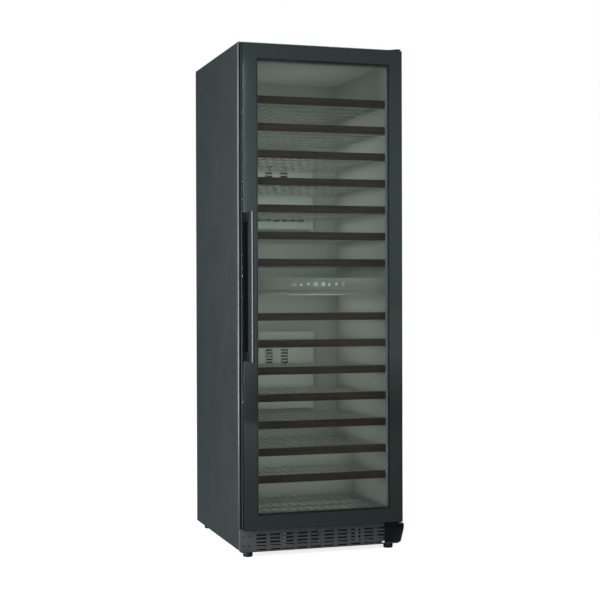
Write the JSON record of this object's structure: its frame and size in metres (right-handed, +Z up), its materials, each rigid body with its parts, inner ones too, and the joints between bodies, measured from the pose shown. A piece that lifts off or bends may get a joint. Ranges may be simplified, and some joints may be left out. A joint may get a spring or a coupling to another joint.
{
  "type": "wine cooler",
  "caption": "Tall free-standing dual-zone wine cooler with a full-glass side-hinged door, bar handle, pull-out wooden shelves, control panel and slotted kick plate.",
  "frame": {"origin": "centre of the bounding box's footprint, on the floor", "axes": "+X to the viewer's right, +Z up, the door faces -Y, the back faces +Y"},
  "size_m": [0.595, 0.73, 1.778],
  "materials": {
    "paint": "satin",
    "steel": "satin",
    "black_steel": "satin",
    "foam": "matte",
    "liner": "satin",
    "black_plastic": "satin",
    "dark_plastic": "satin",
    "lamp_lens": "satin",
    "aluminium": "satin",
    "frame_aluminium": "matte",
    "handle_aluminium": "satin",
    "outer_glass": "gloss",
    "inner_glass": "gloss",
    "rubber": "matte",
    "foot_plastic": "matte",
    "wood": "satin",
    "rack_steel": "satin"
  },
  "bodies": {
    "cabinet": {"cabinet_shell": "paint", "back_panel": "paint", "base_tray": "steel", "insulation": "foam", "inner_liner": "liner", "zone_divider": "liner", "control_panel": "black_plastic", "lower_lamp": "lamp_lens", "upper_fan_cover": "liner", "lower_fan_cover": "liner", "upper_evaporator": "aluminium", "lower_evaporator": "aluminium", "compressor": "black_steel", "condenser": "steel", "drain_pan": "liner", "power_inlet": "black_plastic", "kick_plate": "dark_plastic", "bottom_rack": "rack_steel", "top_hinge": "black_steel", "bottom_hinge": "black_steel"},
    "door": {"door_frame": "frame_aluminium", "door_glass": "outer_glass", "inner_glass": "inner_glass", "door_gasket": "rubber", "handle": "handle_aluminium"},
    "shelf_01": {"shelf_01_rack": "rack_steel", "shelf_01_fascia": "wood"},
    "shelf_02": {"shelf_02_rack": "rack_steel", "shelf_02_fascia": "wood"},
    "shelf_03": {"shelf_03_rack": "rack_steel", "shelf_03_fascia": "wood"},
    "shelf_04": {"shelf_04_rack": "rack_steel", "shelf_04_fascia": "wood"},
    "shelf_05": {"shelf_05_rack": "rack_steel", "shelf_05_fascia": "wood"},
    "shelf_06": {"shelf_06_rack": "rack_steel", "shelf_06_fascia": "wood"},
    "shelf_07": {"shelf_07_rack": "rack_steel", "shelf_07_fascia": "wood"},
    "shelf_08": {"shelf_08_rack": "rack_steel", "shelf_08_fascia": "wood"},
    "shelf_09": {"shelf_09_rack": "rack_steel", "shelf_09_fascia": "wood"},
    "shelf_10": {"shelf_10_rack": "rack_steel", "shelf_10_fascia": "wood"},
    "shelf_11": {"shelf_11_rack": "rack_steel", "shelf_11_fascia": "wood"},
    "shelf_12": {"shelf_12_rack": "rack_steel", "shelf_12_fascia": "wood"},
    "shelf_13": {"shelf_13_rack": "rack_steel", "shelf_13_fascia": "wood"},
    "shelf_14": {"shelf_14_rack": "rack_steel", "shelf_14_fascia": "wood"},
    "upper_fan": {"upper_fan": "black_plastic"},
    "lower_fan": {"lower_fan": "black_plastic"},
    "condenser_fan": {"condenser_fan": "black_plastic"},
    "foot_front_left": {"foot_front_left": "foot_plastic"},
    "foot_front_right": {"foot_front_right": "foot_plastic"},
    "foot_rear_left": {"foot_rear_left": "foot_plastic"},
    "foot_rear_right": {"foot_rear_right": "foot_plastic"}
  },
  "joints": [
    {"name": "door_hinge", "type": "hinge", "parent": "cabinet", "child": "door", "pos_m": [0.283, -0.295, 0.9], "axis": [0, 0, 1], "range_deg": [0, 110]},
    {"name": "shelf_01_slide", "type": "slide", "parent": "cabinet", "child": "shelf_01", "axis": [0, -1, 0], "range_m": [0, 0.027]},
    {"name": "shelf_02_slide", "type": "slide", "parent": "cabinet", "child": "shelf_02", "axis": [0, -1, 0], "range_m": [0, 0.027]},
    {"name": "shelf_03_slide", "type": "slide", "parent": "cabinet", "child": "shelf_03", "axis": [0, -1, 0], "range_m": [0, 0.027]},
    {"name": "shelf_04_slide", "type": "slide", "parent": "cabinet", "child": "shelf_04", "axis": [0, -1, 0], "range_m": [0, 0.027]},
    {"name": "shelf_05_slide", "type": "slide", "parent": "cabinet", "child": "shelf_05", "axis": [0, -1, 0], "range_m": [0, 0.027]},
    {"name": "shelf_06_slide", "type": "slide", "parent": "cabinet", "child": "shelf_06", "axis": [0, -1, 0], "range_m": [0, 0.027]},
    {"name": "shelf_07_slide", "type": "slide", "parent": "cabinet", "child": "shelf_07", "axis": [0, -1, 0], "range_m": [0, 0.027]},
    {"name": "shelf_08_slide", "type": "slide", "parent": "cabinet", "child": "shelf_08", "axis": [0, -1, 0], "range_m": [0, 0.027]},
    {"name": "shelf_09_slide", "type": "slide", "parent": "cabinet", "child": "shelf_09", "axis": [0, -1, 0], "range_m": [0, 0.027]},
    {"name": "shelf_10_slide", "type": "slide", "parent": "cabinet", "child": "shelf_10", "axis": [0, -1, 0], "range_m": [0, 0.027]},
    {"name": "shelf_11_slide", "type": "slide", "parent": "cabinet", "child": "shelf_11", "axis": [0, -1, 0], "range_m": [0, 0.027]},
    {"name": "shelf_12_slide", "type": "slide", "parent": "cabinet", "child": "shelf_12", "axis": [0, -1, 0], "range_m": [0, 0.027]},
    {"name": "shelf_13_slide", "type": "slide", "parent": "cabinet", "child": "shelf_13", "axis": [0, -1, 0], "range_m": [0, 0.027]},
    {"name": "shelf_14_slide", "type": "slide", "parent": "cabinet", "child": "shelf_14", "axis": [0, -1, 0], "range_m": [0, 0.027]},
    {"name": "upper_fan_spin", "type": "hinge", "parent": "cabinet", "child": "upper_fan", "pos_m": [0, 0.2825, 1.365], "axis": [0, 1, 0], "continuous": true},
    {"name": "lower_fan_spin", "type": "hinge", "parent": "cabinet", "child": "lower_fan", "pos_m": [0, 0.2825, 0.665], "axis": [0, 1, 0], "continuous": true},
    {"name": "condenser_fan_spin", "type": "hinge", "parent": "cabinet", "child": "condenser_fan", "pos_m": [-0.189, 0.222, 0.1225], "axis": [1, 0, 0], "continuous": true},
    {"name": "foot_front_left_screw", "type": "hinge", "parent": "cabinet", "child": "foot_front_left", "pos_m": [-0.26, -0.251, 0], "axis": [0, 0, 1], "continuous": true},
    {"name": "foot_front_right_screw", "type": "hinge", "parent": "cabinet", "child": "foot_front_right", "pos_m": [0.26, -0.251, 0], "axis": [0, 0, 1], "continuous": true},
    {"name": "foot_rear_left_screw", "type": "hinge", "parent": "cabinet", "child": "foot_rear_left", "pos_m": [-0.26, 0.325, 0], "axis": [0, 0, 1], "continuous": true},
    {"name": "foot_rear_right_screw", "type": "hinge", "parent": "cabinet", "child": "foot_rear_right", "pos_m": [0.26, 0.325, 0], "axis": [0, 0, 1], "continuous": true}
  ]
}
